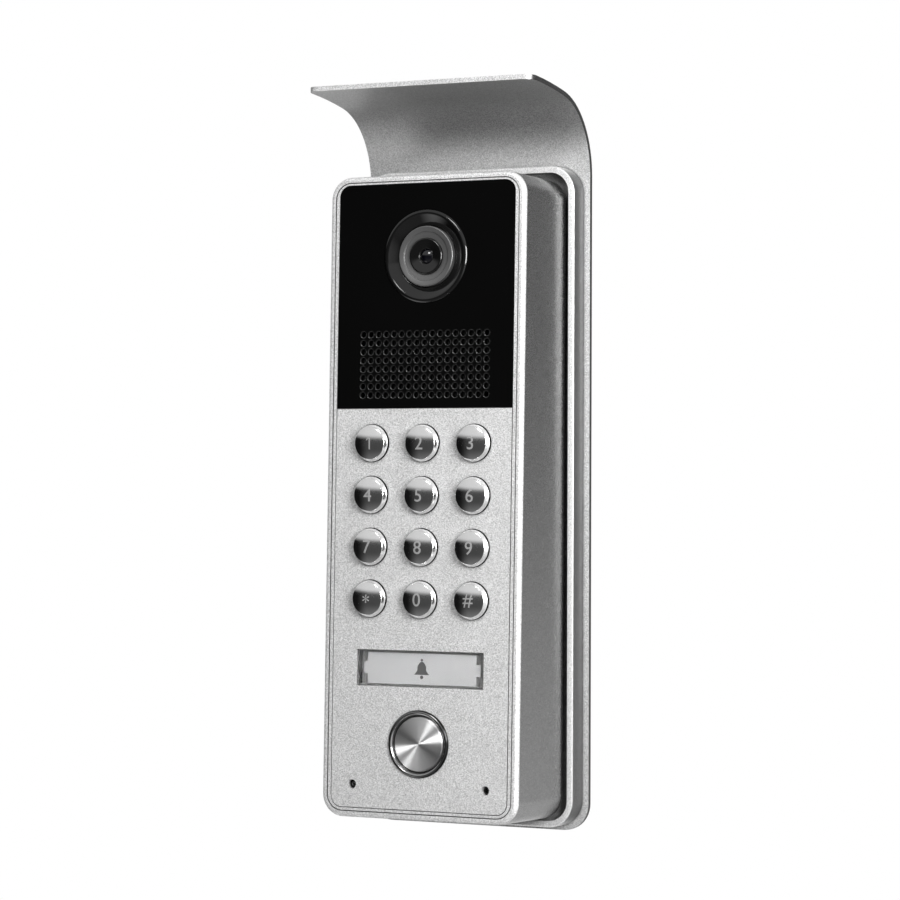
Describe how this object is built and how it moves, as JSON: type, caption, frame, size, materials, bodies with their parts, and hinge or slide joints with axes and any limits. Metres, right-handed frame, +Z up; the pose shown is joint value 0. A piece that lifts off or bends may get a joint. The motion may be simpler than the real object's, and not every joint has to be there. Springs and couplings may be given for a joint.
{
  "type": "door intercom panel",
  "caption": "Surface-mounted door intercom panel with camera window, speaker grille, keypad, name plate and call button, in a wall tray under a rain hood.",
  "frame": {"origin": "on the wall face of the hood plate, on the middle line, level with the middle of the body's height", "axes": "+Z up, +X to the right for a person facing the panel, +Y into the wall; the panel faces -Y"},
  "size_m": [0.0786, 0.0432, 0.2333],
  "materials": {
    "black_acrylic": "deep gloss black",
    "black_gloss": "gloss black",
    "black_plastic": "matt black",
    "board": "green circuit board lacquer",
    "brushed_steel": "circular brushed",
    "chip": "matt black epoxy",
    "clear_plastic": "clear polycarbonate, gloss",
    "cloth": "fine black mesh",
    "cone": "thin film",
    "dark_chrome": "dark polished chrome",
    "grey_satin": "dark grey satin",
    "housing_paint": "silver grey paint, satin",
    "key_chrome": "polished chrome, dark figure inlay",
    "led": "clear epoxy",
    "lens_glass": "coated glass",
    "magnet": "ground ferrite",
    "paper": "matt paper card",
    "rain_hood": "fine silver metallic powder paint",
    "relay_blue": "blue moulded",
    "rubber": "matt black",
    "silicone": "translucent white silicone",
    "silver_paint": "fine silver metallic paint with a light sparkle",
    "steel": "zinc plated",
    "terminal_green": "green moulded",
    "wall_tray": "fine silver metallic powder paint"
  },
  "bodies": {
    "panel": {"rain_hood": "rain_hood", "wall_tray": "wall_tray", "locking_screw": "steel", "rear_pads": "rubber", "rear_housing": "housing_paint", "cable_grommet": "rubber", "housing_gasket": "rubber", "frame_screws": "steel", "front_frame": "silver_paint", "face_plate": "silver_paint", "camera_window": "black_acrylic", "camera_ring": "black_gloss", "lens_barrel": "grey_satin", "lens_retainer": "black_gloss", "lens_glasses": "lens_glass", "lens_mount": "black_plastic", "image_sensor": "chip", "camera_board": "board", "led_board": "board", "infrared_leds": "led", "speaker_cloth": "cloth", "speaker_frame": "black_plastic", "speaker_cone": "cone", "speaker_magnet": "magnet", "keypad_mat": "silicone", "keypad_lights": "led", "keypad_board": "board", "small_screws": "steel", "name_cover": "clear_plastic", "name_card": "paper", "name_holder": "black_plastic", "call_button_body": "dark_chrome", "call_button_seal": "rubber", "call_button_nut": "steel", "call_button_spring": "silicone", "call_switch": "black_plastic", "microphone_boot": "rubber", "microphone": "steel", "status_light": "led", "main_board": "board", "board_screws": "steel", "processor_chip": "chip", "lock_relay": "relay_blue", "capacitors": "chip", "terminal_block": "terminal_green", "terminal_screws": "steel", "board_link": "black_plastic"},
    "key_1": {"key_1": "key_chrome"},
    "key_2": {"key_2": "key_chrome"},
    "key_3": {"key_3": "key_chrome"},
    "key_4": {"key_4": "key_chrome"},
    "key_5": {"key_5": "key_chrome"},
    "key_6": {"key_6": "key_chrome"},
    "key_7": {"key_7": "key_chrome"},
    "key_8": {"key_8": "key_chrome"},
    "key_9": {"key_9": "key_chrome"},
    "key_star": {"key_star": "key_chrome"},
    "key_0": {"key_0": "key_chrome"},
    "key_hash": {"key_hash": "key_chrome"},
    "call_button": {"call_button_cap": "brushed_steel"}
  },
  "joints": [
    {"name": "key_1_press", "type": "slide", "parent": "panel", "child": "key_1", "axis": [0, 0.9997, -0.0252], "range_m": [0, 0.001], "stiffness_N_per_m": 800, "springref_m": -0.001, "deforming": ["keypad_mat"]},
    {"name": "key_2_press", "type": "slide", "parent": "panel", "child": "key_2", "axis": [0, 0.9997, -0.0252], "range_m": [0, 0.001], "stiffness_N_per_m": 800, "springref_m": -0.001, "deforming": ["keypad_mat"]},
    {"name": "key_3_press", "type": "slide", "parent": "panel", "child": "key_3", "axis": [0, 0.9997, -0.0252], "range_m": [0, 0.001], "stiffness_N_per_m": 800, "springref_m": -0.001, "deforming": ["keypad_mat"]},
    {"name": "key_4_press", "type": "slide", "parent": "panel", "child": "key_4", "axis": [0, 0.9997, -0.0252], "range_m": [0, 0.001], "stiffness_N_per_m": 800, "springref_m": -0.001, "deforming": ["keypad_mat"]},
    {"name": "key_5_press", "type": "slide", "parent": "panel", "child": "key_5", "axis": [0, 0.9997, -0.0252], "range_m": [0, 0.001], "stiffness_N_per_m": 800, "springref_m": -0.001, "deforming": ["keypad_mat"]},
    {"name": "key_6_press", "type": "slide", "parent": "panel", "child": "key_6", "axis": [0, 0.9997, -0.0252], "range_m": [0, 0.001], "stiffness_N_per_m": 800, "springref_m": -0.001, "deforming": ["keypad_mat"]},
    {"name": "key_7_press", "type": "slide", "parent": "panel", "child": "key_7", "axis": [0, 0.9997, -0.0252], "range_m": [0, 0.001], "stiffness_N_per_m": 800, "springref_m": -0.001, "deforming": ["keypad_mat"]},
    {"name": "key_8_press", "type": "slide", "parent": "panel", "child": "key_8", "axis": [0, 0.9997, -0.0252], "range_m": [0, 0.001], "stiffness_N_per_m": 800, "springref_m": -0.001, "deforming": ["keypad_mat"]},
    {"name": "key_9_press", "type": "slide", "parent": "panel", "child": "key_9", "axis": [0, 0.9997, -0.0252], "range_m": [0, 0.001], "stiffness_N_per_m": 800, "springref_m": -0.001, "deforming": ["keypad_mat"]},
    {"name": "key_star_press", "type": "slide", "parent": "panel", "child": "key_star", "axis": [0, 0.9997, -0.0252], "range_m": [0, 0.001], "stiffness_N_per_m": 800, "springref_m": -0.001, "deforming": ["keypad_mat"]},
    {"name": "key_0_press", "type": "slide", "parent": "panel", "child": "key_0", "axis": [0, 0.9997, -0.0252], "range_m": [0, 0.001], "stiffness_N_per_m": 800, "springref_m": -0.001, "deforming": ["keypad_mat"]},
    {"name": "key_hash_press", "type": "slide", "parent": "panel", "child": "key_hash", "axis": [0, 0.9997, -0.0252], "range_m": [0, 0.001], "stiffness_N_per_m": 800, "springref_m": -0.001, "deforming": ["keypad_mat"]},
    {"name": "call_button_press", "type": "slide", "parent": "panel", "child": "call_button", "axis": [0, 0.9997, -0.0252], "range_m": [0, 0.0015], "stiffness_N_per_m": 1200, "springref_m": -0.001, "deforming": ["call_button_spring"]}
  ]
}
